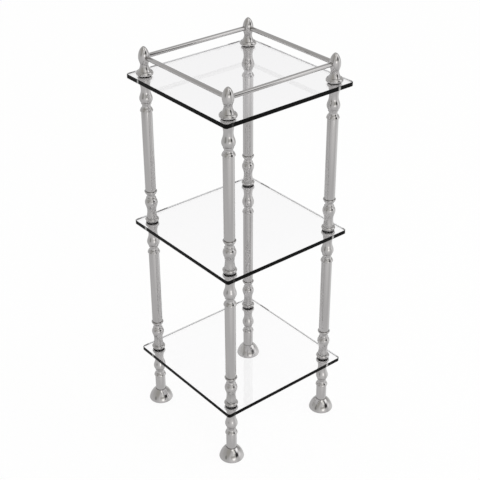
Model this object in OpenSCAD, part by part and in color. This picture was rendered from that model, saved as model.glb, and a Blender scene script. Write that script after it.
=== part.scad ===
// Three-tier etagere: glass shelves clamped between turned spindles on four tubular posts.
// +Z is up, the floor is z = 0, the origin is the middle of the footprint and -Y is the front.

/* [Shelves] */
// Side of each square glass shelf
shelf_w = 355.6; // [300:0.1:600]
// Thickness of the glass
glass_t = 10; // [6:0.1:15]
// Corner radius of the glass
glass_corner_r = 6.4; // [2:0.1:15]
// Width of the ground arris round the glass
glass_arris = 0.6; // [0.2:0.1:1.5]
// Radius of the holes in the glass
glass_hole_r = 6; // [5:0.1:9]
// Clear height from the floor to the bottom shelf
floor_to_shelf = 151; // [140:0.5:300]
// Clear height between two shelves
bay_h = 360.7; // [220:0.1:500]

/* [Posts] */
// Distance from the edge of the glass to the centre of a post
post_inset = 30.2; // [24:0.1:60]
// Radius of the tubes
tube_r = 12.7; // [11.5:0.1:13.5]
// Wall of the tubes
tube_wall = 1.5; // [1:0.1:2.5]

/* [Turned spindles] */
// Radius of the narrow lip that presses on the washer
lip_r = 15.2; // [13:0.1:16]
// Height of that lip
lip_h = 1; // [0.6:0.1:2]
// Radius of the bead next to the glass
bead_r = 16.4; // [15.6:0.1:18]
// Height of that bead
bead_h = 6.6; // [5:0.1:8]
// Radius of the fillet above the bead
bead_fillet_r = 12.3; // [11.5:0.1:13.5]
// Height of that fillet
bead_fillet_h = 0.9; // [0.5:0.1:2]
// Radius at the waist
waist_r = 10.7; // [9.5:0.1:11.4]
// Standing spindle: height from the fillet to the waist
over_low_h = 17.2; // [12:0.1:20]
// Standing spindle: height from the waist to the widest part of the vase
over_high_h = 23.7; // [18:0.1:28]
// Hanging spindle: distance from the fillet to the waist
under_low_h = 15.3; // [12:0.1:20]
// Hanging spindle: distance from the waist to the widest part of the vase
under_high_h = 22.2; // [18:0.1:28]
// Radius of the vase at its widest
vase_r = 15.1; // [13.5:0.1:16]
// Radius of the thin fillet over the vase
vase_fillet_r = 11.7; // [11:0.1:12.5]
// Height of that fillet
vase_fillet_h = 2.7; // [1:0.1:3.5]
// Radius at the bottom of the groove under the ring
groove_r = 9.7; // [8:0.1:10.4]
// Height of the groove
groove_h = 9.7; // [6:0.1:12]
// Radius of the ring at the end of the tube
ring_r = 14.9; // [14:0.1:16]
// Height of that ring
ring_h = 8.2; // [7:0.1:11]
// Length of the spigot that enters the tube
spigot_h = 14; // [8:0.5:20]

/* [Finials] */
// Radius of the large bead that stands on the washer
finial_bead_r = 19.6; // [17:0.1:21]
// Height of that bead
finial_bead_h = 8.1; // [5:0.1:10]
// Radius where the bead meets the neck
finial_neck_r = 14.4; // [12.5:0.1:15]
// Height from the bead to the waist
finial_waist_h = 14.5; // [10:0.1:18]
// Radius at the waist of the finial
finial_waist_r = 9.1; // [8:0.1:10]
// Height from the waist to the widest part of the acorn
acorn_low_h = 16; // [12:0.1:20]
// Radius of the acorn at its widest
acorn_r = 12.7; // [11.5:0.1:14]
// Height from the widest part of the acorn to its tip
acorn_high_h = 25.7; // [20:0.1:34]

/* [Gallery rails] */
// Radius of the round rails
rail_r = 5.2; // [3:0.1:5.6]
// Height of the rail axis over the top shelf
rail_h = 40.5; // [36:0.1:44]
// Distance from the post axis to the end of a rail in its socket
rail_seat = 6.5; // [6:0.1:8]

/* [Feet] */
// Largest radius of the bell foot
foot_r = 30; // [26:0.1:40]
// Height of the bell foot over the pad
foot_h = 30; // [26:0.1:36]
// Radius of the arc that swells the bell
foot_arc_r = 50; // [42:0.5:90]
// Height of the rounded rim
foot_rim_h = 2; // [1:0.1:3]
// Depth to which the leg tube sits in the foot
leg_seat_h = 8; // [5:0.5:11]
// Radius of the hollow under the foot
foot_hollow_r = 20; // [12:0.5:21]
// Depth of that hollow
foot_hollow_h = 8; // [6:0.1:9]
// Radius of the felt pad
pad_r = 24.5; // [22:0.1:26]
// Thickness of the felt pad
pad_t = 2; // [1.4:0.1:3]
// How far the pad stands out below the foot
pad_out = 0.6; // [0.3:0.1:1.2]

/* [Hidden fittings] */
// Thickness of the washers next to a spindle
washer_t = 1; // [0.6:0.1:1.5]
// Radius of the washers at the bottom and middle shelves
washer_r = 14.3; // [13:0.1:15.2]
// Radius of the small washers under the top shelf
small_washer_r = 9; // [7.5:0.1:12]
// Thickness of the washers under the finials
finial_washer_t = 0.5; // [0.3:0.1:1]
// Radius of the washers under the finials
finial_washer_r = 16.5; // [14:0.1:17]
// Radius of the threaded studs and screws
stud_r = 4; // [3:0.1:4.5]
// Length of stud that enters each spindle
stud_grip = 18; // [10:0.5:22]
// Radius of the screw head under the foot
screw_head_r = 7; // [6:0.1:9]
// Height of that head
screw_head_h = 5; // [3:0.1:5.6]
// Length of screw that enters the plug
screw_grip = 12; // [8:0.5:14]
// Height of the threaded plug in the leg tube
plug_h = 16; // [15:0.5:24]
// Clearance between round pieces that fit into each other
fit_gap = 0.15; // [0.05:0.05:0.3]
// Clearance at the blind ends of the stud holes
end_gap = 0.5; // [0.2:0.1:2]

/* [Hidden] */
// Angles at which the arc of a bead starts and ends: a spindle's, and the finial's fuller one
bead_start_a = -66;
finial_start_a = -26;
bead_end_a = 80;
// Step between a curve and the fillet or edge next to it
fillet_step = 0.7;
// Width of the shoulder that shows round the end of a tube
shoulder_w = 0.3;
// Bend of the long curves: above 1 the curve leaves its start slowly, below 1 quickly
vase_bend = 1.25;
acorn_bend = 0.8;
// Shape of the acorn's tip: 0.5 is an ellipse and 1 a parabola
tip_power = 0.6;
// Chamfer on the ends of studs, screws and spigots
end_chamfer = 0.8;
// How far a cut runs past the face that it opens
cut_over = 1;
// How far a spigot or screw is rooted in its own shoulder or head
root_in = 2;
// Facets round a whole turn, and steps along one curve or arc of an outline
round_fn = 96;
curve_n = 18;
arc_n = 10;

post_at = shelf_w / 2 - post_inset;
bore_r = tube_r - tube_wall;
stud_hole_r = stud_r + fit_gap;
shelf_step = bay_h + glass_t;
shelf_z = [for (i = [0 : 2]) floor_to_shelf + i * shelf_step];
top_z = shelf_z[2] + glass_t;

// Places along the spindle, measured from the face of its washer
fillet_z = lip_h + bead_h;
waist_start_z = fillet_z + bead_fillet_h;
vase_cap_a = acos((vase_fillet_r - fillet_step / 2) / vase_r);
vase_cap_h = vase_r * sin(vase_cap_a);

// Waists of the two kinds of spindle: height up to the waist, then up to the vase
over_waist = [over_low_h, over_high_h];
under_waist = [under_low_h, under_high_h];

// The ring starts at the edge of the groove and ends at the shoulder round the tube
groove_edge_r = vase_fillet_r - fillet_step;
ring_swell = ring_r - groove_edge_r;
ring_end_a = acos((tube_r + shoulder_w - groove_edge_r) / ring_swell);

// Places along the finial, measured from the face of its washer
finial_waist_z = finial_bead_h + finial_waist_h;
acorn_z = finial_waist_z + acorn_low_h;

// Heights in the foot
foot_top = pad_out + foot_h;
rim_z = pad_out + foot_rim_h;
leg_z = foot_top - leg_seat_h;
hollow_top = pad_t + foot_hollow_h;

// Each post: name, side in X, side in Y
posts = [
    ["front_left", -1, -1],
    ["front_right", 1, -1],
    ["back_left", -1, 1],
    ["back_right", 1, 1]
];
// Each rail: name, turn about Z, place in X, place in Y
rails = [
    ["front_rail", 0, 0, -post_at],
    ["back_rail", 0, 0, post_at],
    ["left_rail", 90, -post_at, 0],
    ["right_rail", 90, post_at, 0]
];
shelves = ["bottom", "middle", "top"];
post_pieces = [
    "foot_pad",
    "foot",
    "leg_tube",
    "spindle_under_bottom",
    "spindle_over_bottom",
    "lower_tube",
    "spindle_under_middle",
    "spindle_over_middle",
    "upper_tube",
    "spindle_under_top",
    "finial"
];

// Points along part of an ellipse, as [radius, height] pairs; first skips the start
function arc_points(middle, half, a0, a1, first = 0) = [
    for (i = [first : arc_n])
        let (a = a0 + (a1 - a0) * i / arc_n)
            [middle[0] + half[0] * cos(a), middle[1] + half[1] * sin(a)]
];

// An S-shaped curve from one [radius, height] to the next, without its start
function curve_points(from, to, bend = 1) = [
    for (i = [1 : curve_n])
        let (t = i / curve_n, share = (1 - cos(180 * pow(t, bend))) / 2)
            [from[0] + (to[0] - from[0]) * share, from[1] + (to[1] - from[1]) * t]
];

// A hollow curve that narrows quickly at first and levels out
function sweep_points(from, to) = [
    for (i = [0 : curve_n])
        let (t = i / curve_n)
            [from[0] + (to[0] - from[0]) * sin(90 * t), from[1] + (to[1] - from[1]) * t]
];

// A bead that swells from r_low to r_out over the height h, from the angle start_a on
function bead_points(r_low, r_out, z0, h, start_a = bead_start_a) =
    let (half_h = h / (sin(bead_end_a) - sin(start_a)))
    arc_points([r_low, z0 - half_h * sin(start_a)], [r_out - r_low, half_h], start_a, bead_end_a);

// The groove under the ring, from groove_z up to where the ring starts
function groove_points(groove_z) = [
    for (i = [0 : arc_n - 1])
        let (t = i / arc_n)
            [groove_edge_r - (groove_edge_r - groove_r) * sin(180 * t), groove_z + groove_h * t]
];

function ring_points(ring_z) =
    let (half_h = ring_h / (1 + sin(ring_end_a)))
    arc_points([groove_edge_r, ring_z + half_h], [ring_swell, half_h], -90, ring_end_a);

// Height of the widest part of the vase, and of the whole spindle without its spigot
function vase_height(waist) = waist_start_z + waist[0] + waist[1];
function spindle_height(waist) = vase_height(waist) + vase_cap_h + vase_fillet_h + groove_h + ring_h;

// How far a spindle and its washer reach from the glass
function spindle_reach(waist) = washer_t + spindle_height(waist);

function spindle_outline(waist) =
    let (
        waist_z = waist_start_z + waist[0],
        vase_z = vase_height(waist),
        vase_fillet_z = vase_z + vase_cap_h,
        groove_z = vase_fillet_z + vase_fillet_h
    )
    concat(
        [[0, 0], [lip_r, 0], [lip_r, lip_h]],
        bead_points(bead_fillet_r, bead_r, lip_h, bead_h),
        [[bead_fillet_r, fillet_z], [bead_fillet_r, waist_start_z]],
        curve_points([bead_fillet_r, waist_start_z], [waist_r, waist_z]),
        curve_points([waist_r, waist_z], [vase_r, vase_z], vase_bend),
        arc_points([0, vase_z], [vase_r, vase_r], 0, vase_cap_a, 1),
        [[vase_fillet_r, vase_fillet_z], [vase_fillet_r, groove_z]],
        groove_points(groove_z),
        ring_points(groove_z + groove_h),
        [[0, spindle_height(waist)]]
    );

// The rounded top of the acorn, from its widest part to the tip
function tip_points() = [
    for (i = [1 : curve_n])
        let (a = 90 * i / curve_n)
            [acorn_r * pow(cos(a), 2 * tip_power), acorn_z + acorn_high_h * sin(a)]
];

function finial_outline() = concat(
    [[0, 0]],
    bead_points(finial_neck_r, finial_bead_r, 0, finial_bead_h, finial_start_a),
    sweep_points([finial_neck_r, finial_bead_h], [finial_waist_r, finial_waist_z]),
    curve_points([finial_waist_r, finial_waist_z], [acorn_r, acorn_z], acorn_bend),
    tip_points()
);

// The bell: a rounded rim, then one arc from its widest part up to the recess for the tube
function foot_outline() =
    let (
        top_r = tube_r + fit_gap + fillet_step,
        run = foot_r - top_r,
        rise = foot_top - rim_z,
        chord = norm([run, rise]),
        to_centre = sqrt(pow(foot_arc_r, 2) - pow(chord / 2, 2)),
        centre = [(foot_r + top_r) / 2, (rim_z + foot_top) / 2] - to_centre / chord * [rise, run],
        a0 = atan2(rim_z - centre[1], foot_r - centre[0]),
        a1 = atan2(foot_top - centre[1], top_r - centre[0])
    )
    concat(
        [[0, pad_out]],
        arc_points([foot_r - foot_rim_h / 2, rim_z], [foot_rim_h / 2, foot_rim_h], -90, 0),
        arc_points(centre, [foot_arc_r, foot_arc_r], a0, a1, 1),
        [[0, foot_top]]
    );

module turned(outline) {
    rotate_extrude($fn = round_fn) polygon(outline);
}

// A round rod from z0 to z1 with chamfered ends
module rod(r, z0, z1) {
    c = end_chamfer;
    turned([[0, z0], [r - c, z0], [r, z0 + c], [r, z1 - c], [r - c, z1], [0, z1]]);
}

// A plain disc or bore of radius r between z0 and z1
module disc(r, z0, z1) {
    translate([0, 0, z0]) cylinder(r = r, h = z1 - z0, $fn = round_fn);
}

module ring(r_in, r_out, z0, z1) {
    difference() {
        disc(r_out, z0, z1);
        disc(r_in, z0 - cut_over, z1 + cut_over);
    }
}

module at_post(p) {
    translate([p[1] * post_at, p[2] * post_at, 0]) children();
}

module at_posts() {
    for (p = posts) at_post(p) children();
}

// A flat bar with ground arrises along its two long edges
module plate_bar() {
    w = shelf_w / 2;
    c = glass_arris;
    half = [[w - c, 0], [w, c], [w, glass_t - c], [w - c, glass_t]];
    rotate([90, 0, 0])
    linear_extrude(height = shelf_w - 2 * glass_corner_r, center = true)
    polygon(concat(half, [for (i = [3 : -1 : 0]) [-half[i][0], half[i][1]]]));
}

// One square of glass with round corners, ground arrises and a hole at each post
module shelf(i) {
    r = glass_corner_r;
    c = glass_arris;
    corner_at = shelf_w / 2 - r;
    color("lightcyan", 0.5)
    translate([0, 0, shelf_z[i]])
    difference() {
        union() {
            plate_bar();
            rotate([0, 0, 90]) plate_bar();
            for (x = [-1, 1], y = [-1, 1])
                translate([x * corner_at, y * corner_at, 0])
                turned([[0, 0], [r - c, 0], [r, c], [r, glass_t - c], [r - c, glass_t], [0, glass_t]]);
        }
        at_posts() disc(glass_hole_r, -cut_over, glass_t + cut_over);
    }
}

// The washers above and below one shelf: thin wide ones carry the finials
module shelf_washers(i) {
    top = i == 2;
    under_r = top ? small_washer_r : washer_r;
    over_r = top ? finial_washer_r : washer_r;
    over_t = top ? finial_washer_t : washer_t;
    color("black")
    at_posts() {
        ring(stud_hole_r, under_r, shelf_z[i] - washer_t, shelf_z[i]);
        ring(stud_hole_r, over_r, shelf_z[i] + glass_t, shelf_z[i] + glass_t + over_t);
    }
}

// The studs that clamp one shelf between the turned pieces over and under it
module shelf_studs(i) {
    over_t = i == 2 ? finial_washer_t : washer_t;
    color("dimgray")
    at_posts() rod(
        stud_r,
        shelf_z[i] - washer_t - stud_grip,
        shelf_z[i] + glass_t + over_t + stud_grip
    );
}

// What the stud of the shelf needs in a turned piece that stands on z = 0
module stud_hole() {
    disc(stud_hole_r, -cut_over, stud_grip + end_gap);
}

// One spindle standing on its washer, with the hole for its stud and the spigot for its tube
module spindle(waist) {
    h = spindle_height(waist);
    color("gainsboro")
    difference() {
        union() {
            turned(spindle_outline(waist));
            rod(bore_r - fit_gap, h - root_in, h + spigot_h);
        }
        stud_hole();
    }
}

module spindle_over(i) {
    translate([0, 0, shelf_z[i] + glass_t + washer_t]) spindle(over_waist);
}

module spindle_under(i) {
    translate([0, 0, shelf_z[i] - washer_t]) mirror([0, 0, 1]) spindle(under_waist);
}

module leg_tube() {
    color("silver") ring(bore_r, tube_r, leg_z, shelf_z[0] - spindle_reach(under_waist));
}

module bay_tube(i) {
    low = shelf_z[i] + glass_t + spindle_reach(over_waist);
    high = shelf_z[i + 1] - spindle_reach(under_waist);
    color("silver") ring(bore_r, tube_r, low, high);
}

// The socket for a rail that leaves the finial along +Z of the current frame
module rail_socket() {
    disc(rail_r + fit_gap, rail_seat, acorn_r + cut_over);
}

// The acorn finial, with sockets for the two rails that run towards the next posts
module finial(p) {
    color("gainsboro")
    translate([0, 0, top_z + finial_washer_t])
    difference() {
        turned(finial_outline());
        stud_hole();
        translate([0, 0, rail_h - finial_washer_t]) {
            rotate([0, -90 * p[1], 0]) rail_socket();
            rotate([90 * p[2], 0, 0]) rail_socket();
        }
    }
}

module rail(r) {
    color("silver")
    translate([r[2], r[3], top_z + rail_h])
    rotate([0, 0, r[1]])
    rotate([0, 90, 0])
    cylinder(r = rail_r, h = 2 * (post_at - rail_seat), center = true, $fn = round_fn);
}

// The bell foot, hollow below for the screw head, with a recess for the felt pad
module foot() {
    color("gainsboro")
    difference() {
        turned(foot_outline());
        disc(tube_r + fit_gap, leg_z, foot_top + cut_over);
        disc(stud_hole_r, hollow_top - cut_over, leg_z + cut_over);
        disc(foot_hollow_r, pad_out - cut_over, hollow_top);
        disc(pad_r + fit_gap, pad_out - cut_over, pad_t);
    }
}

module foot_pad() {
    color("dimgray") disc(pad_r, 0, pad_t);
}

// The threaded plugs in the bottom ends of the leg tubes
module leg_plugs() {
    color("dimgray") at_posts() ring(stud_hole_r, bore_r - fit_gap, leg_z, leg_z + plug_h);
}

// The screws that hold the feet, with their heads up against the roof of the hollow
module foot_screws() {
    color("dimgray")
    at_posts() {
        rod(stud_r, hollow_top - root_in, leg_z + screw_grip);
        disc(screw_head_r, hollow_top - screw_head_h, hollow_top);
    }
}

for (p = posts) {
    at_post(p) foot_pad();
    at_post(p) foot();
    at_post(p) leg_tube();
    at_post(p) spindle_under(0);
    at_post(p) spindle_over(0);
    at_post(p) bay_tube(0);
    at_post(p) spindle_under(1);
    at_post(p) spindle_over(1);
    at_post(p) bay_tube(1);
    at_post(p) spindle_under(2);
    at_post(p) finial(p);
}
for (i = [0 : 2]) {
    shelf(i);
    shelf_washers(i);
    shelf_studs(i);
}
for (r = rails) {
    rail(r);
}
leg_plugs();
foot_screws();
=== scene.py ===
import math

import bpy
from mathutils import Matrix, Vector


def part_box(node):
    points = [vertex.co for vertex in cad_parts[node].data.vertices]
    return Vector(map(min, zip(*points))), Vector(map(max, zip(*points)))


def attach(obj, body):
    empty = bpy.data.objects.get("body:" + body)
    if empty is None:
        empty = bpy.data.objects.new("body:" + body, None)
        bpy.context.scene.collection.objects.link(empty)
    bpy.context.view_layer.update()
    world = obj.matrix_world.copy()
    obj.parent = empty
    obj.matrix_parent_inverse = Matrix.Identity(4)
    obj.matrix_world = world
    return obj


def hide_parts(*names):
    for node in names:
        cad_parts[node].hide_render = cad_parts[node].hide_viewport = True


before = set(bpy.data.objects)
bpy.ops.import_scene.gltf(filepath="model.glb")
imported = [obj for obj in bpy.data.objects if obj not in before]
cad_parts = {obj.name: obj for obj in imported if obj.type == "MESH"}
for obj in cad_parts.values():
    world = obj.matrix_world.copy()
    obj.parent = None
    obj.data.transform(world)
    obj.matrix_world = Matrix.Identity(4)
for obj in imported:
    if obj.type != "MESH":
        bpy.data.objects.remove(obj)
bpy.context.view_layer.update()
mm = 0.001

# Camera
camera = {
    "place": (-1.4014, -1.7332, 1.8069),
    "turn": (59.406, 0.227, -39.114),  # degrees, a hair off level as in the photograph
    "lens": 81.54,
    "sensor": 36.0,
    "reach": 50.0,
}
bpy.ops.object.camera_add(location=camera["place"], rotation=[math.radians(a) for a in camera["turn"]])
viewCamera = bpy.context.object
viewCamera.name = "viewCamera"
viewCamera.data.lens = camera["lens"]
viewCamera.data.sensor_width = camera["sensor"]
viewCamera.data.clip_end = camera["reach"]
bpy.context.scene.camera = viewCamera
bpy.context.scene.view_settings.view_transform = "Standard"
print("camera placed")


# Selecting
def deselectAll():
    if bpy.context.object and bpy.context.object.mode != "OBJECT":
        bpy.ops.object.mode_set(mode="OBJECT")
    bpy.ops.object.select_all(action="DESELECT")


def pick(piece):
    deselectAll()
    piece.select_set(True)
    bpy.context.view_layer.objects.active = piece


# Shader nodes
nodeGrid = {"columns": 8, "width": 220, "height": 320}


def setInputs(tree, node, feeds):
    # each input gets a value, or is joined to another node's output
    for label, source in feeds.items():
        if isinstance(source, bpy.types.NodeSocket):
            tree.links.new(source, node.inputs[label])
        else:
            node.inputs[label].default_value = source


def addNode(tree, kind, feeds=None, **settings):
    row, column = divmod(len(tree.nodes), nodeGrid["columns"])
    node = tree.nodes.new(kind)
    node.location = (column * nodeGrid["width"], -row * nodeGrid["height"])
    for key, value in settings.items():
        setattr(node, key, value)
    setInputs(tree, node, feeds or {})
    return node


def addMath(tree, operation, *sources, **settings):
    node = addNode(tree, "ShaderNodeMath", dict(enumerate(sources)), operation=operation, **settings)
    return node.outputs[0]


def addVectorMath(tree, operation, result, *sources):
    node = addNode(tree, "ShaderNodeVectorMath", dict(enumerate(sources)), operation=operation)
    return node.outputs[result]


def addFade(tree, value, start, end, top=1.0):
    # runs smoothly from 0 at the start to top at the end
    feeds = {"Value": value, "From Min": start, "From Max": end, "To Max": top}
    return addNode(tree, "ShaderNodeMapRange", feeds, interpolation_type="SMOOTHSTEP").outputs["Result"]


def addNoise(tree, place, scale, detail=2.0):
    feeds = {"Vector": place, "Scale": scale, "Detail": detail}
    return addNode(tree, "ShaderNodeTexNoise", feeds).outputs["Fac"]


def addBump(tree, height, strength, depth):
    feeds = {"Height": height, "Strength": strength, "Distance": depth}
    return addNode(tree, "ShaderNodeBump", feeds).outputs["Normal"]


def mixColors(tree, share, first, second):
    # a color mix keeps its two colors at inputs 6 and 7
    return addNode(tree, "ShaderNodeMix", {0: share, 6: first, 7: second}, data_type="RGBA").outputs[2]


def mixShaders(tree, share, first, second):
    return addNode(tree, "ShaderNodeMixShader", {0: share, 1: first, 2: second}).outputs[0]


def asColor(tone):
    # a plain grey is written as one number
    return (tone if isinstance(tone, tuple) else (tone,) * 3) + (1.0,)


def newGroup(name, inputs, outputs):
    # gives the group, the values that come into it, and the node that takes its results
    group = bpy.data.node_groups.new(name, "ShaderNodeTree")
    for label, kind, value in inputs:
        socket = group.interface.new_socket(name=label, in_out="INPUT", socket_type="NodeSocket" + kind)
        if value is not None:
            socket.default_value = value
    for label, kind in outputs:
        group.interface.new_socket(name=label, in_out="OUTPUT", socket_type="NodeSocket" + kind)
    return group, addNode(group, "NodeGroupInput").outputs, addNode(group, "NodeGroupOutput")


# Studio walls, which the polished metal mirrors
def fromCamera(aside, up):
    # unit vector that leaves the object, turned aside to the camera's right and up from level
    facing = math.atan2(camera["place"][1], camera["place"][0]) + math.radians(aside)
    rise = math.radians(up)
    return Vector((math.cos(facing) * math.cos(rise), math.sin(facing) * math.cos(rise), math.sin(rise)))


walls = {
    "level": 0.942,
    "leastAhead": 0.001,  # what lies behind an oblong patch counts as about 90 degrees off it
    # Soft patches, each laid over those before it: its side of the camera and its height in degrees, then
    # for a round one the reach of its even middle and of its faded rim, and its color, and
    # for an oblong one its half width, its half height, the width of its faded rim, and its color.
    "patches": {
        "lowLeft": ("round", -61, -70, 7, 27, (0.74, 0.73, 0.73)),
        "rightBoard": ("round", 127, 2, 29, 65, 1.30),
        "lowBack": ("round", -168, -46, 1, 68, 0.78),
        "ceiling": ("round", -70, 80, 15, 50, (0.78, 0.78, 0.77)),
        "leftWall": ("round", -75, 50, 8, 78, (0.735, 0.73, 0.715)),
        "leftFront": ("round", -42, 36, 10, 37, (0.66, 0.648, 0.605)),
        "leftStand": ("round", -53, 3, 5, 14, (0.45, 0.45, 0.43)),
        "rightCorner": ("round", 150, 30, 36, 59, (0.85, 0.85, 0.84)),
        "rightCurtain": ("round", 116, 27, 4, 21, (0.36, 0.36, 0.35)),
        "frontGlow": ("round", 18, 5, 1, 52, (1.175, 1.17, 1.165)),
        "keyPanel": ("oblong", 34, 58, 12, 30, 5, (1.59, 1.58, 1.52)),
        "highPanel": ("oblong", 74, 47, 9, 4, 6, (2.25, 2.25, 2.23)),
        "sidePanel": ("oblong", 92, 31, 19, 7, 22, 2.50),
        "sideStrip": ("oblong", 87, 3, 13, 7, 9, 1.63),
        "lowGlow": ("round", 22, 9, 8, 20, (2.60, 2.58, 2.54)),
        "keySpot": ("round", 12, 53, 5, 8, (2.20, 2.20, 2.16)),
        "greyBoard": ("oblong", 28, 14, 35, 8.5, 17, (0.74, 0.735, 0.70)),
        "blackFlag": ("oblong", 58, 15, 15, 10.5, 12, 0.03),
        "flagArm": ("oblong", 55, 34, 5.5, 20, 11, 0.08),
        "behindGlass": ("round", 180, 18, 4, 20, (0.47, 0.465, 0.48)),
    },
}


def makeSpotGroup():
    group, enter, leave = newGroup(
        "softSpot",
        [("Way", "Vector", None), ("Toward", "Vector", (0.0, 0.0, 1.0)),
         ("Rim", "Float", 0.5), ("Middle", "Float", 0.9)],
        [("Mask", "Float")])
    nearness = addVectorMath(group, "DOT_PRODUCT", "Value", enter["Way"], enter["Toward"])
    setInputs(group, leave, {"Mask": addFade(group, nearness, enter["Rim"], enter["Middle"])})
    return group


def makePanelGroup():
    group, enter, leave = newGroup(
        "softPanel",
        [("Way", "Vector", None), ("Toward", "Vector", (0.0, 0.0, 1.0)),
         ("Across", "Vector", (1.0, 0.0, 0.0)), ("Upward", "Vector", (0.0, 1.0, 0.0)),
         ("Wide Rim", "Float", 0.3), ("Wide Middle", "Float", 0.2),
         ("High Rim", "Float", 0.3), ("High Middle", "Float", 0.2)],
        [("Mask", "Float")])
    ahead = addVectorMath(group, "DOT_PRODUCT", "Value", enter["Way"], enter["Toward"])
    front = addMath(group, "MAXIMUM", ahead, walls["leastAhead"])
    fades = []
    for axis, size in (("Across", "Wide"), ("Upward", "High")):
        offset = addVectorMath(group, "DOT_PRODUCT", "Value", enter["Way"], enter[axis])
        angle = addMath(group, "ARCTAN2", addMath(group, "ABSOLUTE", offset), front)
        fades.append(addFade(group, angle, enter[size + " Rim"], enter[size + " Middle"]))
    setInputs(group, leave, {"Mask": addMath(group, "MULTIPLY", *fades)})
    return group


def addRound(tree, sight, aside, up, middle, rim):
    feeds = {"Way": sight, "Toward": fromCamera(aside, up),
             "Rim": math.cos(math.radians(rim)), "Middle": math.cos(math.radians(middle))}
    return addNode(tree, "ShaderNodeGroup", feeds, node_tree=softSpot).outputs["Mask"]


def addOblong(tree, sight, aside, up, wide, high, fade):
    toward, across = fromCamera(aside, up), fromCamera(aside + 90, 0)
    feeds = {"Way": sight, "Toward": toward, "Across": across, "Upward": toward.cross(across)}
    for size, half in (("Wide", wide), ("High", high)):
        feeds[size + " Rim"] = math.radians(half + fade / 2)
        feeds[size + " Middle"] = math.radians(half - fade / 2)
    return addNode(tree, "ShaderNodeGroup", feeds, node_tree=softPanel).outputs["Mask"]


def makeWorld():
    world = bpy.data.worlds.new("studioWalls")
    bpy.context.scene.world = world
    world.use_nodes = True
    tree = world.node_tree
    tree.nodes.clear()
    sight = addNode(tree, "ShaderNodeTexCoord").outputs["Generated"]
    look = asColor(walls["level"])
    for form, *size, tone in walls["patches"].values():
        addPatch = addRound if form == "round" else addOblong
        look = mixColors(tree, addPatch(tree, sight, *size), look, asColor(tone))
    room = addNode(tree, "ShaderNodeBackground", {"Color": look}).outputs[0]
    white = addNode(tree, "ShaderNodeBackground", {"Color": asColor(1.0), "Strength": 1.0}).outputs[0]
    ray = addNode(tree, "ShaderNodeLightPath").outputs
    seen = addMath(tree, "MAXIMUM", ray["Is Camera Ray"], ray["Is Transmission Ray"])
    addNode(tree, "ShaderNodeOutputWorld", {"Surface": mixShaders(tree, seen, room, white)})


# Floor
floorLook = {
    "size": 14.0,
    "drop": 0.1 * mm,  # under the feet
    "tone": 0.95,
    "whiteShare": 0.93,  # of its look that is plain white; the rest keeps the shadow
}


def makeFloor():
    deselectAll()
    bpy.ops.mesh.primitive_plane_add(size=floorLook["size"], location=(0, 0, -floorLook["drop"]))
    floor = bpy.context.object
    floor.name = "studioFloor"
    mat = bpy.data.materials.new("paleFloor")
    mat.use_nodes = True
    tree = mat.node_tree
    tree.nodes.clear()
    lit = addNode(tree, "ShaderNodeBsdfDiffuse", {"Color": asColor(floorLook["tone"])}).outputs[0]
    white = addNode(tree, "ShaderNodeEmission", {"Color": asColor(1.0), "Strength": 1.0}).outputs[0]
    ray = addNode(tree, "ShaderNodeLightPath").outputs
    mirrored = addMath(tree, "MAXIMUM", ray["Is Glossy Ray"], ray["Is Transmission Ray"])
    seen = addMath(tree, "MAXIMUM", ray["Is Camera Ray"], mirrored)
    share = addMath(tree, "MULTIPLY", seen, floorLook["whiteShare"])
    addNode(tree, "ShaderNodeOutputMaterial", {"Surface": mixShaders(tree, share, lit, white)})
    floor.data.materials.append(mat)
    floor.visible_glossy = False  # polished metal shows the pale studio below the horizon instead


# Lamps: side of the camera and height in degrees, size in metres, brightness over the walls
lamps = {
    "distance": 4.2,
    "aim": (0.0, 0.0, 0.5),
    "softboxes": {
        "keySoftbox": {"aside": 27.0, "up": 48.0, "size": (2.2, 3.2), "glow": 0.6},
        "sideSoftbox": {"aside": 92.0, "up": 30.0, "size": (2.0, 1.6), "glow": 0.9},
    },
}


def makeLamps():
    for name, values in lamps["softboxes"].items():
        way = fromCamera(values["aside"], values["up"])
        deselectAll()
        bpy.ops.object.light_add(type="AREA", location=Vector(lamps["aim"]) + way * lamps["distance"])
        lamp = bpy.context.object
        lamp.name = name
        lamp.rotation_euler = way.to_track_quat("Z", "Y").to_euler()
        lamp.data.shape = "RECTANGLE"
        lamp.data.size, lamp.data.size_y = values["size"]
        lamp.data.energy = values["glow"] * math.pi * values["size"][0] * values["size"][1]
        lamp.visible_camera = False
        lamp.visible_transmission = False
        lamp.visible_glossy = False  # the walls already hold the panels that metal mirrors


softSpot = makeSpotGroup()
softPanel = makePanelGroup()
makeWorld()
makeFloor()
makeLamps()
print("studio lit")

# Shared effects
polish = {"lineDetail": 3.0, "patchScale": 45.0, "patchDetail": 2.0}
drift = {"detail": 4.0, "fadeFrom": 0.35, "fadeTo": 0.65}


def makePolishGroup():
    # fine lines left by the polishing wheel, stretched along whichever way it ran
    group, enter, leave = newGroup(
        "polishLines",
        [("Place", "Vector", None), ("Along", "Vector", (1.0, 1.0, 1.0)),
         ("Base Roughness", "Float", 0.06), ("Spread", "Float", 0.03)],
        [("Roughness", "Float"), ("Height", "Float")])
    stretched = addNode(group, "ShaderNodeMapping", {"Vector": enter["Place"], "Scale": enter["Along"]})
    lines = addNoise(group, stretched.outputs["Vector"], 1.0, polish["lineDetail"])
    patches = addNoise(group, enter["Place"], polish["patchScale"], polish["patchDetail"])
    both = addMath(group, "ADD", lines, patches)
    centred = addMath(group, "SUBTRACT", both, 1.0)  # each noise is a half on average
    uneven = addMath(group, "MULTIPLY", centred, enter["Spread"])
    total = addMath(group, "ADD", uneven, enter["Base Roughness"], use_clamp=True)
    setInputs(group, leave, {"Roughness": total, "Height": lines})
    return group


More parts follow.
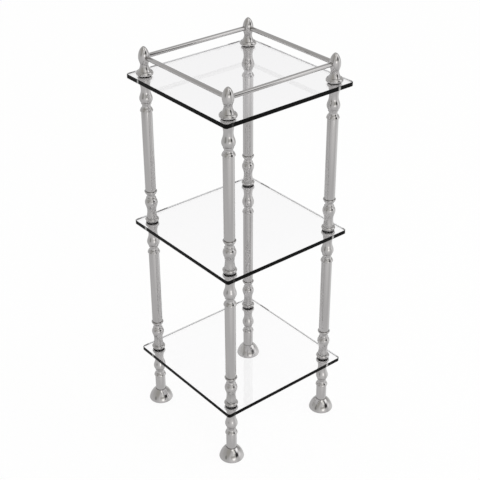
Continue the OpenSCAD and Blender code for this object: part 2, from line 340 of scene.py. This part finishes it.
def makeToneGroup():
    # slow change between two tones, as plating and rubber show
    group, enter, leave = newGroup(
        "toneDrift",
        [("Place", "Vector", None), ("Scale", "Float", 30.0),
         ("Tone A", "Color", asColor(0.5)), ("Tone B", "Color", asColor(0.6))],
        [("Color", "Color")])
    patches = addNoise(group, enter["Place"], enter["Scale"], drift["detail"])
    share = addFade(group, patches, drift["fadeFrom"], drift["fadeTo"])
    setInputs(group, leave, {"Color": mixColors(group, share, enter["Tone A"], enter["Tone B"])})
    return group


def makeGlintGroup():
    # painted glints: upright light marks painted on the shelf edges, where a drilled hole shows through the
    # glass
    group, enter, leave = newGroup(
        "holeGlints",
        [("Place", "Vector", None), ("Mark At", "Vector", (0.1, 0.1, 0.0)),
         ("Half Width", "Float", 0.003), ("Strength", "Float", 1.0)],
        [("Mask", "Float")])
    away = addVectorMath(group, "SUBTRACT", "Vector", enter["Place"], enter["Mark At"])
    apart = addVectorMath(group, "ABSOLUTE", "Vector", away)
    gaps = addNode(group, "ShaderNodeSeparateXYZ", {0: apart}).outputs
    marks = [addFade(group, gaps[axis], enter["Half Width"], 0.0) for axis in "XY"]
    either = addMath(group, "MAXIMUM", *marks)
    setInputs(group, leave, {"Mask": addMath(group, "MULTIPLY", either, enter["Strength"])})
    return group


polishLines = makePolishGroup()
toneDrift = makeToneGroup()
holeGlints = makeGlintGroup()


# Finishes
def newFinish(name):
    mat = bpy.data.materials.new(name)
    mat.use_nodes = True
    tree = mat.node_tree
    return mat, tree, tree.nodes["Principled BSDF"], addNode(tree, "ShaderNodeTexCoord").outputs["Object"]


def addTone(tree, place, look):
    feeds = {"Place": place, "Scale": look["toneScale"],
             "Tone A": asColor(look["toneA"]), "Tone B": asColor(look["toneB"])}
    return addNode(tree, "ShaderNodeGroup", feeds, node_tree=toneDrift).outputs["Color"]


def addNeckDullness(tree, place, roughness, look):
    # the polishing wheel doesn't reach into a deep neck, so its surface stays duller there, on each storey
    height = addNode(tree, "ShaderNodeSeparateXYZ", {0: place}).outputs["Z"]
    over = addMath(tree, "SUBTRACT", height, look["neckHeight"])
    nearest = addMath(tree, "WRAP", over, storey / 2, -storey / 2)
    gap = addMath(tree, "ABSOLUTE", nearest)
    dullness = addFade(tree, gap, look["neckReach"], look["neckEven"], look["neckRoughness"])
    return addMath(tree, "ADD", roughness, dullness)


def makeMetal(name, look):
    mat, tree, shader, place = newFinish(name)
    feeds = {"Place": place, "Along": look["along"],
             "Base Roughness": look["roughness"], "Spread": look["spread"]}
    lines = addNode(tree, "ShaderNodeGroup", feeds, node_tree=polishLines).outputs
    roughness = lines["Roughness"]
    if "neckHeight" in look:
        roughness = addNeckDullness(tree, place, roughness, look)
    setInputs(tree, shader, {
        "Metallic": 1.0, "Base Color": addTone(tree, place, look), "Roughness": roughness,
        "Normal": addBump(tree, lines["Height"], look["bump"], look["bumpDepth"])})
    return mat


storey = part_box("middle_shelf")[0][2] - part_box("bottom_shelf")[0][2]
nickel = {"toneA": (0.400, 0.391, 0.388), "toneB": (0.416, 0.406, 0.404), "bumpDepth": 0.02 * mm}
turned = {
    **nickel, "toneScale": 25.0, "along": (60.0, 60.0, 2600.0),
    "roughness": 0.03, "spread": 0.03, "bump": 0.07}
# a neck's height over the floor, the half length that is evenly dull, and where the dullness ends, in metres
spindleNeck = {"neckHeight": 0.1865, "neckEven": 0.010, "neckReach": 0.019, "neckRoughness": 0.26}
finialNeck = {"neckHeight": 0.9255, "neckEven": 0.003, "neckReach": 0.009, "neckRoughness": 0.35}
turnedNickel = makeMetal("polishedNickel", {**turned, **spindleNeck})
finialNickel = makeMetal("finialNickel", {**turned, **finialNeck})
tubeNickel = makeMetal("nickelTube", {
    **nickel, "toneScale": 9.0, "along": (900.0, 900.0, 6.0),
    "roughness": 0.12, "spread": 0.04, "bump": 0.03})
railNickel = makeMetal("nickelRail", {
    **nickel, "toneScale": 9.0, "along": (60.0, 60.0, 900.0),
    "roughness": 0.05, "spread": 0.03, "bump": 0.05})
zincSteel = makeMetal("zincSteel", {
    "toneScale": 120.0, "toneA": (0.30, 0.30, 0.31), "toneB": (0.42, 0.42, 0.40),
    "along": (300.0, 300.0, 1200.0), "roughness": 0.32, "spread": 0.12, "bump": 0.3, "bumpDepth": 0.02 * mm})


def makeMatt(name, look):
    mat, tree, shader, place = newFinish(name)
    grain = addNoise(tree, place, look["grainScale"], look["grainDetail"])
    setInputs(tree, shader, {
        "Base Color": addTone(tree, place, look), "Roughness": look["roughness"],
        "Sheen Weight": look["sheen"], "Specular IOR Level": look["shine"],
        "Normal": addBump(tree, grain, look["bump"], look["bumpDepth"])})
    return mat


matt = {"grainDetail": 5.0, "bumpDepth": 0.2 * mm, "sheen": 0.0, "shine": 0.5}
blackRubber = makeMatt("blackRubber", {
    **matt, "toneScale": 400.0, "toneA": (0.010, 0.010, 0.011), "toneB": 0.018,
    "grainScale": 1500.0, "bump": 0.4, "roughness": 0.55})
greyFelt = makeMatt("greyFelt", {
    **matt, "toneScale": 700.0, "toneA": (0.10, 0.10, 0.105), "toneB": 0.22,
    "grainScale": 2500.0, "bump": 0.9, "roughness": 0.95, "sheen": 0.4})
# painted shade: the arrises are coloured near black to match the dark edges
paintedDarkArris = makeMatt("paintedDarkArris", {
    **matt, "toneScale": 60.0, "toneA": 0.003, "toneB": 0.006,
    "grainScale": 900.0, "bump": 0.3, "roughness": 0.45, "shine": 0.05})

glass = {
    "color": (0.992, 0.990, 0.994),
    "ior": 1.5,
    "rippleScale": 8.0, "ripple": 0.05, "rippleDepth": 0.05 * mm,
    # the edges' near-black colour is painted shade, standing in for how dark the glass edges look
    "paintedEdgeTone": 0.003, "edgeRoughness": 0.12, "edgeShine": 0.04,
    "edgeShade": 0.38,  # share of painted shade mixed into the far edges seen through the glass
    # painted glints: the tone and half width of light marks on the dark edges
    "glintTone": 0.42, "glintHalf": 0.0048,
    # where painted glints sit on the edges, at the holes that show through, in metres from the shelf's
    # middle, and how bright
    "glints": (((0.135, 0.1315, 0.0), 1.0), ((-0.160, 0.1315, 0.0), 0.07)),
}


# painted shade for the shelf edges: a near-black colour, with painted glints mixed in
def addPaintedEdgeShade(tree, place):
    marks = []
    for spot, strength in glass["glints"]:
        feeds = {"Place": place, "Mark At": spot, "Half Width": glass["glintHalf"], "Strength": strength}
        marks.append(addNode(tree, "ShaderNodeGroup", feeds, node_tree=holeGlints).outputs["Mask"])
    brighter = addMath(tree, "MAXIMUM", *marks)
    color = mixColors(tree, brighter, asColor(glass["paintedEdgeTone"]), asColor(glass["glintTone"]))
    feeds = {"Base Color": color, "Roughness": glass["edgeRoughness"],
             "Specular IOR Level": glass["edgeShine"]}
    return addNode(tree, "ShaderNodeBsdfPrincipled", feeds).outputs[0]


def makeGlass(name, isEdge):
    mat, tree, shader, place = newFinish(name)
    ripple = addNoise(tree, place, glass["rippleScale"])
    setInputs(tree, shader, {
        "Base Color": asColor(glass["color"]), "Roughness": 0.0, "IOR": glass["ior"],
        "Transmission Weight": 1.0, "Normal": addBump(tree, ripple, glass["ripple"], glass["rippleDepth"])})
    body = shader.outputs[0]
    if isEdge:  # painted shade: nearly black from outside, and seen through the glass, clear glass with a share of painted shade
        dark = addPaintedEdgeShade(tree, place)
        shaded = mixShaders(tree, glass["edgeShade"], body, dark)
        inside = addNode(tree, "ShaderNodeNewGeometry").outputs["Backfacing"]
        body = mixShaders(tree, inside, dark, shaded)
    clear = addNode(tree, "ShaderNodeBsdfTransparent").outputs[0]
    shadow = addNode(tree, "ShaderNodeLightPath").outputs["Is Shadow Ray"]
    setInputs(tree, tree.nodes["Material Output"], {"Surface": mixShaders(tree, shadow, body, clear)})
    return mat


shelfGlass = makeGlass("shelfGlass", False)
edgeGlass = makeGlass("edgeGlass", True)
print("finishes mixed")

# Outlines, in millimetres as (radius, height)
easing = {
    "leftAlone": 24.0,  # degrees that an outline may turn without being rounded
    "share": 0.4,  # of the next line that a rounding takes at most
    "least": 1e-6,  # a shorter line is dropped
}
lathe = {"steps": 96, "cut": 0.25, "weld": 0.002, "smoothAngle": 40.0}


def arcPoints(middle, half, startAngle, endAngle, steps, first=0):
    points = []
    for i in range(first, steps + 1):
        a = math.radians(startAngle + (endAngle - startAngle) * i / steps)
        points.append((middle[0] + half[0] * math.cos(a), middle[1] + half[1] * math.sin(a)))
    return points


def curvePoints(start, end, steps, bend=1.0):
    # an S-curve that starts and ends upright
    points = []
    for i in range(1, steps + 1):
        t = i / steps
        share = (1 - math.cos(math.pi * t ** bend)) / 2
        points.append((start[0] + (end[0] - start[0]) * share, start[1] + (end[1] - start[1]) * t))
    return points


def beadPoints(lowRadius, outRadius, z0, height, steps, startAngle=-66.0, endAngle=80.0):
    half = height / (math.sin(math.radians(endAngle)) - math.sin(math.radians(startAngle)))
    middle = (lowRadius, z0 - half * math.sin(math.radians(startAngle)))
    return arcPoints(middle, (outRadius - lowRadius, half), startAngle, endAngle, steps)


def easeCorners(points, cut):
    # rounds each sharp corner of an outline
    eased = [points[0]]
    for before, here, after in zip(points, points[1:], points[2:]):
        a, p, b = Vector(before), Vector(here), Vector(after)
        inward, onward = p - a, b - p
        if min(inward.length, onward.length) < easing["least"]:
            continue
        if inward.angle(onward) < math.radians(easing["leftAlone"]):
            eased.append(here)
            continue
        c = min(cut, easing["share"] * inward.length, easing["share"] * onward.length)
        first, last = p - inward.normalized() * c, p + onward.normalized() * c
        eased += [tuple(first), tuple((first + 2 * p + last) / 4), tuple(last)]
    eased.append(points[-1])
    return eased


def turn(name, outline, steps=lathe["steps"], cut=lathe["cut"]):
    # one point is drawn along the outline and spun round Z, as on a lathe
    path = [Vector((r, 0, z)) * mm for r, z in easeCorners(outline, cut)]
    deselectAll()
    bpy.ops.mesh.primitive_plane_add(size=mm, location=(0, 0, 0))
    piece = bpy.context.object
    piece.name = name
    bpy.ops.object.mode_set(mode="EDIT")
    bpy.ops.mesh.select_all(action="SELECT")
    bpy.ops.mesh.merge(type="CENTER")
    bpy.ops.transform.translate(value=path[0])
    for start, end in zip(path, path[1:]):
        bpy.ops.mesh.extrude_region_move(TRANSFORM_OT_translate={"value": end - start})
    bpy.ops.mesh.select_all(action="SELECT")
    bpy.ops.mesh.spin(steps=steps, angle=2 * math.pi, center=(0, 0, 0), axis=(0, 0, 1))
    bpy.ops.mesh.select_all(action="SELECT")
    bpy.ops.mesh.remove_doubles(threshold=lathe["weld"] * mm)
    bpy.ops.mesh.normals_make_consistent(inside=False)
    bpy.ops.object.mode_set(mode="OBJECT")
    bpy.ops.object.shade_smooth_by_angle(angle=math.radians(lathe["smoothAngle"]))
    return piece


# Placing and finishing
postNames = ("front_left", "front_right", "back_left", "back_right")
shelfLevels = ("bottom", "middle", "top")


def upsideDown(master):
    pick(master)
    bpy.ops.object.mode_set(mode="EDIT")
    bpy.ops.mesh.select_all(action="SELECT")
    bpy.ops.transform.resize(value=(1, 1, -1), center_override=(0, 0, 0))
    bpy.ops.mesh.normals_make_consistent(inside=False)
    bpy.ops.object.mode_set(mode="OBJECT")
    return master


def standAt(master, name, place):
    # a copy with its own mesh, moved to its place, with the place kept in the mesh
    pick(master)
    bpy.ops.object.duplicate()
    copy = bpy.context.object
    copy.name = name
    bpy.ops.transform.translate(value=place)
    bpy.ops.object.transform_apply(location=True, rotation=True, scale=True)
    return copy


def finishPiece(piece, finish, slotName, *nodes):
    piece.data.materials.clear()
    piece.data.materials.append(finish)
    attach(piece, "root")
    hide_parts(*nodes)


def finishSolid(node, finish):
    # a hidden fastener keeps its solid from the frame
    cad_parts[node].data.materials.clear()
    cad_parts[node].data.materials.append(finish)


def discard(*masters):
    for master in masters:
        pick(master)
        bpy.ops.object.delete()


def nodeMiddle(node):
    low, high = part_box(node)
    return (low[0] + high[0]) / 2, (low[1] + high[1]) / 2, low[2], high[2]


def camel(node):
    words = node.split("_")
    return words[0] + "".join(w.capitalize() for w in words[1:])


# Turned spindles
spindle = {
    "lipRadius": 15.2, "lipHeight": 1.0,
    "beadRadius": 16.4, "beadHeight": 6.6,
    "filletRadius": 12.3, "filletHeight": 0.9,
    # heights from the fillet to the waist and from the waist to the vase
    "standingRises": (17.2, 23.7), "hangingRises": (15.3, 22.2),
    "waistRadius": 10.7,
    "vaseRadius": 15.1, "vaseBend": 1.25,
    "capRadius": 11.7, "capHeight": 2.7,
    "grooveRadius": 9.7, "grooveHeight": 9.7, "step": 0.7,
    "ringHeight": 8.2, "ringStart": -90.0, "ringCurves": ((1.6, -33.0), (20.0, -15.0)), "ringEnd": 70.0,
    "spigotRadius": 11.05, "spigotHeight": 14.0, "spigotChamfer": 0.8,
    "holeRadius": 4.15, "holeDepth": 18.5,
    "steps": {"bead": 14, "sweep": 16, "vase": 24, "cap": 10, "groove": 12, "ring": 8},
}


def ringPoints(s, start):
    # a small curve, a broad flank toward the groove and a last curve that fills the height,
    # each tangent to the next
    points, place, angle = [], Vector(start), s["ringStart"]
    for radius, nextAngle in s["ringCurves"] + ((None, s["ringEnd"]),):
        sine, nextSine = math.sin(math.radians(angle)), math.sin(math.radians(nextAngle))
        radius = radius or (start[1] + s["ringHeight"] - place.y) / (nextSine - sine)
        centre = place - radius * Vector((math.cos(math.radians(angle)), sine))
        first = 1 if points else 0
        points += arcPoints(centre, (radius, radius), angle, nextAngle, s["steps"]["ring"], first)
        place, angle = Vector(points[-1]), nextAngle
    return points


def spindleOutline(s, rises):
    steps = s["steps"]
    beadTop = s["lipHeight"] + s["beadHeight"]
    sweepStart = beadTop + s["filletHeight"]
    waist = sweepStart + rises[0]
    vase = waist + rises[1]
    capAngle = math.degrees(math.acos((s["capRadius"] - s["step"] / 2) / s["vaseRadius"]))
    cap = vase + s["vaseRadius"] * math.sin(math.radians(capAngle))
    groove = cap + s["capHeight"]
    ring = groove + s["grooveHeight"]
    top = ring + s["ringHeight"]
    end = top + s["spigotHeight"]
    edge = s["capRadius"] - s["step"]
    grooveCurve = [(edge - (edge - s["grooveRadius"]) * math.sin(math.pi * i / steps["groove"]),
                    groove + s["grooveHeight"] * i / steps["groove"]) for i in range(steps["groove"])]
    return ([(0, s["holeDepth"]), (s["holeRadius"], s["holeDepth"]), (s["holeRadius"], 0),
             (s["lipRadius"], 0), (s["lipRadius"], s["lipHeight"])]
            + beadPoints(s["filletRadius"], s["beadRadius"], s["lipHeight"], s["beadHeight"], steps["bead"])
            + [(s["filletRadius"], beadTop), (s["filletRadius"], sweepStart)]
            + curvePoints((s["filletRadius"], sweepStart), (s["waistRadius"], waist), steps["sweep"])
            + curvePoints((s["waistRadius"], waist), (s["vaseRadius"], vase), steps["vase"], s["vaseBend"])
            + arcPoints((0, vase), (s["vaseRadius"], s["vaseRadius"]), 0, capAngle, steps["cap"], 1)
            + [(s["capRadius"], cap), (s["capRadius"], groove)]
            + grooveCurve
            + ringPoints(s, (edge, ring))
            + [(s["spigotRadius"], top), (s["spigotRadius"], end - s["spigotChamfer"]),
               (s["spigotRadius"] - s["spigotChamfer"], end), (0, end)])


standing = turn("standingMaster", spindleOutline(spindle, spindle["standingRises"]))
hanging = upsideDown(turn("hangingMaster", spindleOutline(spindle, spindle["hangingRises"])))
for post in postNames:
    for level in shelfLevels:
        for side in ("over", "under"):
            node = f"{post}_spindle_{side}_{level}"
            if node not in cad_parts:
                continue  # a finial stands over the top shelf
            x, y, low, high = nodeMiddle(node)
            piece = (standAt(standing, camel(node), (x, y, low)) if side == "over"
                     else standAt(hanging, camel(node), (x, y, high)))
            finishPiece(piece, turnedNickel, "polished_nickel", node)
discard(standing, hanging)
print("spindles turned")

# Acorn finials
finial = {
    "beadRadius": 19.6, "beadHeight": 8.1, "beadStart": -26.0,
    "neckRadius": 14.4, "waistHeight": 14.5, "waistRadius": 9.1,
    "acornLow": 16.0, "acornRadius": 12.7, "acornBend": 0.8,
    "acornHigh": 25.7, "tipPower": 1.2,
    "holeRadius": 4.15, "holeDepth": 18.5,
    "steps": {"bead": 18, "sweep": 20, "acorn": 20, "tip": 28},
}


def finialOutline(s):
    steps = s["steps"]
    waist = s["beadHeight"] + s["waistHeight"]
    widest = waist + s["acornLow"]
    sweep, tip = [], []
    for i in range(steps["sweep"] + 1):
        inward = (s["neckRadius"] - s["waistRadius"]) * math.sin(math.pi / 2 * i / steps["sweep"])
        sweep.append((s["neckRadius"] - inward, s["beadHeight"] + s["waistHeight"] * i / steps["sweep"]))
    for i in range(1, steps["tip"]):
        a = math.pi / 2 * i / steps["tip"]
        tip.append((s["acornRadius"] * math.cos(a) ** s["tipPower"], widest + s["acornHigh"] * math.sin(a)))
    low, high = (s["waistRadius"], waist), (s["acornRadius"], widest)
    return ([(0, s["holeDepth"]), (s["holeRadius"], s["holeDepth"]), (s["holeRadius"], 0)]
            + beadPoints(s["neckRadius"], s["beadRadius"], 0, s["beadHeight"], steps["bead"], s["beadStart"])
            + sweep
            + curvePoints(low, high, steps["acorn"], s["acornBend"])
            + tip
            + [(0, widest + s["acornHigh"])])


acorn = turn("finialMaster", finialOutline(finial))
for post in postNames:
    node = post + "_finial"
    x, y, low, high = nodeMiddle(node)
    finishPiece(standAt(acorn, camel(node), (x, y, low)), finialNickel, "polished_nickel", node)
discard(acorn)
print("finials turned")

# Bell feet and their pads
foot = {
    "radius": 30.0, "height": 30.0, "arcRadius": 50.0, "rimHeight": 2.0,
    "seatRadius": 12.73, "seatDepth": 8.0, "step": 0.82,
    "hollowRadius": 20.0, "hollowHeight": 8.0, "screwHole": 4.15,
    "padSeatRadius": 24.65, "padOut": 0.6,
    "steps": {"rim": 8, "bell": 36, "round": 112},
}
pad = {"radius": 24.5, "thick": 2.0, "steps": 72, "cut": 0.5}


def footOutline(s):
    # heights over the floor; the outline starts and ends where the rim meets the pad's recess
    top = s["padOut"] + s["height"]
    rim = s["padOut"] + s["rimHeight"]
    topRadius = s["seatRadius"] + s["step"]
    run, rise = s["radius"] - topRadius, top - rim
    chord = math.hypot(run, rise)
    lean = math.sqrt(s["arcRadius"] ** 2 - (chord / 2) ** 2) / chord
    centre = ((s["radius"] + topRadius) / 2 - lean * rise, (rim + top) / 2 - lean * run)
    startAngle = math.degrees(math.atan2(rim - centre[1], s["radius"] - centre[0]))
    endAngle = math.degrees(math.atan2(top - centre[1], topRadius - centre[0]))
    rimHalf = s["rimHeight"] / 2
    hollowTop = pad["thick"] + s["hollowHeight"]
    seat = top - s["seatDepth"]
    start = (s["padSeatRadius"], s["padOut"])
    return ([start]
            + arcPoints((s["radius"] - rimHalf, rim), (rimHalf, s["rimHeight"]), -90, 0, s["steps"]["rim"])
            + arcPoints(centre, (s["arcRadius"], s["arcRadius"]), startAngle, endAngle, s["steps"]["bell"], 1)
            + [(s["seatRadius"], top), (s["seatRadius"], seat), (s["screwHole"], seat),
               (s["screwHole"], hollowTop), (s["hollowRadius"], hollowTop), (s["hollowRadius"], pad["thick"]),
               (s["padSeatRadius"], pad["thick"]), start])


bell = turn("footMaster", footOutline(foot), steps=foot["steps"]["round"])
felt = turn("padMaster", [(0, 0), (pad["radius"], 0), (pad["radius"], pad["thick"]), (0, pad["thick"])],
            steps=pad["steps"], cut=pad["cut"])
for post in postNames:
    node = post + "_foot"
    x, y, low, high = nodeMiddle(node)
    finishPiece(standAt(bell, camel(node), (x, y, 0)), turnedNickel, "polished_nickel", node)
    node = post + "_foot_pad"
    finishPiece(standAt(felt, camel(node), (x, y, 0)), greyFelt, "felt", node)
discard(bell, felt)
print("feet turned")

# Tubes
tube = {"radius": 12.7, "wall": 1.5, "cut": 0.35}


def cutTube(node):
    x, y, low, high = nodeMiddle(node)
    z0, z1 = low / mm, high / mm
    inner, outer = tube["radius"] - tube["wall"], tube["radius"]
    start = (inner, (z0 + z1) / 2)
    outline = [start, (inner, z0), (outer, z0), (outer, z1), (inner, z1), start]
    master = turn("tubeMaster", outline, cut=tube["cut"])
    finishPiece(standAt(master, camel(node), (x, y, 0)), tubeNickel, "nickel_tube", node)
    discard(master)


# Gallery rails
rail = {"radius": 5.2, "cut": 0.5, "steps": 64}


def cutRail(node):
    low, high = (Vector(corner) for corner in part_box(node))
    span = (high - low) / mm
    reach = max(span.x, span.y) / 2
    rod = turn(camel(node), [(0, -reach), (rail["radius"], -reach), (rail["radius"], reach), (0, reach)],
               steps=rail["steps"], cut=rail["cut"])
    rod.rotation_euler = (0, math.pi / 2, 0) if span.x > span.y else (math.pi / 2, 0, 0)
    rod.location = (low + high) / 2
    pick(rod)
    bpy.ops.object.transform_apply(location=True, rotation=True, scale=True)
    finishPiece(rod, railNickel, "nickel_tube", node)
    rod.visible_glossy = False  # the photographed top glass shows no image of the rails


for post in postNames:
    for part in ("leg_tube", "lower_tube", "upper_tube"):
        cutTube(f"{post}_{part}")
for side in ("front", "back", "left", "right"):
    cutRail(side + "_rail")
print("tubes and rails cut")

# Washers: radius and thickness
washer = {"hole": 4.15, "steps": 64, "spindle": (14.3, 1.0), "small": (9.0, 1.0), "finial": (16.5, 0.5)}
postPlaces = [nodeMiddle(post + "_finial")[:2] for post in postNames]


def makeWasher(kind):
    radius, thick = washer[kind]
    start = (washer["hole"], thick / 2)
    return turn(kind + "Washer", [start, (washer["hole"], 0), (radius, 0), (radius, thick),
                                  (washer["hole"], thick), start], steps=washer["steps"])


washerMasters = {kind: makeWasher(kind) for kind in ("spindle", "small", "finial")}


def layWashers(level, lowFace, highFace):
    rings = []
    over, under = ("finial", "small") if level == "top" else ("spindle", "spindle")
    for x, y in postPlaces:
        rings.append(standAt(washerMasters[over], "ring", (x, y, highFace)))
        rings.append(standAt(washerMasters[under], "ring", (x, y, lowFace - washer[under][1] * mm)))
    deselectAll()
    for ring in rings:
        ring.select_set(True)
    bpy.context.view_layer.objects.active = rings[0]
    bpy.ops.object.join()
    rings[0].name = camel(level + "_shelf_washers")
    finishPiece(rings[0], blackRubber, "black_rubber", level + "_shelf_washers")


# Glass shelves
shelf = {
    "corner": 6.4, "cornerSteps": 10, "arris": 0.6, "arrisSteps": 1,
    "holeRadius": 6.0, "holeSteps": 64, "drillLength": 2.0,  # in thicknesses
    "smoothAngle": 25.0,
    # a face is clear glass if its normal rises over the first, and edge with painted dark shade if it rises
    # under the second
    "flat": 0.95, "upright": 0.3,
    "nearHole": 1.2,  # in radii of the hole
}


def bevelEdges(plate, isWanted, width, steps):
    bpy.ops.object.mode_set(mode="EDIT")
    bpy.ops.mesh.select_mode(type="EDGE")
    bpy.ops.mesh.select_all(action="DESELECT")
    bpy.ops.object.mode_set(mode="OBJECT")
    for edge in plate.data.edges:
        a, b = (plate.data.vertices[i].co for i in edge.vertices)
        edge.select = isWanted(abs(a.z - b.z))
    bpy.ops.object.mode_set(mode="EDIT")
    bpy.ops.mesh.bevel(offset=width * mm, segments=steps)
    bpy.ops.object.mode_set(mode="OBJECT")


def drillHoles(plate, height, length):
    for x, y in postPlaces:
        deselectAll()
        bpy.ops.mesh.primitive_cylinder_add(vertices=shelf["holeSteps"], radius=shelf["holeRadius"] * mm,
                                            depth=length, location=(x, y, height))
        drill = bpy.context.object
        pick(plate)
        cut = plate.modifiers.new("drill", "BOOLEAN")
        cut.operation, cut.solver, cut.object = "DIFFERENCE", "EXACT", drill
        bpy.ops.object.modifier_apply(modifier=cut.name)
        discard(drill)


def darkenEdges(plate):
    # clear faces and holes, upright edges with painted dark shade, and arrises painted near black between
    # them
    plate.data.materials.append(edgeGlass)
    plate.data.materials.append(paintedDarkArris)
    near = shelf["holeRadius"] * shelf["nearHole"] * mm
    for face in plate.data.polygons:
        inHole = any(math.hypot(face.center.x - x, face.center.y - y) < near for x, y in postPlaces)
        rise = abs(face.normal.z)
        if rise > shelf["flat"] or inHole:
            face.material_index = 0
        else:
            face.material_index = 2 if rise > shelf["upright"] else 1


def makeShelf(level):
    node = level + "_shelf"
    low, high = (Vector(corner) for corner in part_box(node))
    middle, span = (low + high) / 2, high - low
    deselectAll()
    bpy.ops.mesh.primitive_cube_add(size=1.0, location=middle)
    plate = bpy.context.object
    plate.name = camel(node)
    bpy.ops.transform.resize(value=span)
    bpy.ops.object.transform_apply(location=True, rotation=True, scale=True)
    # the four upright corners, then the rims of both faces
    bevelEdges(plate, lambda rise: rise > span.z / 2, shelf["corner"], shelf["cornerSteps"])
    bevelEdges(plate, lambda rise: rise < span.z / 2, shelf["arris"], shelf["arrisSteps"])
    drillHoles(plate, middle.z, span.z * shelf["drillLength"])
    pick(plate)
    bpy.ops.object.shade_smooth_by_angle(angle=math.radians(shelf["smoothAngle"]))
    finishPiece(plate, shelfGlass, "shelf_glass", node)
    darkenEdges(plate)
    layWashers(level, low.z, high.z)
    finishSolid(level + "_shelf_studs", zincSteel)


for level in shelfLevels:
    makeShelf(level)
discard(*washerMasters.values())
for node in ("leg_plugs", "foot_screws"):
    finishSolid(node, zincSteel)
print("shelves set")

deselectAll()
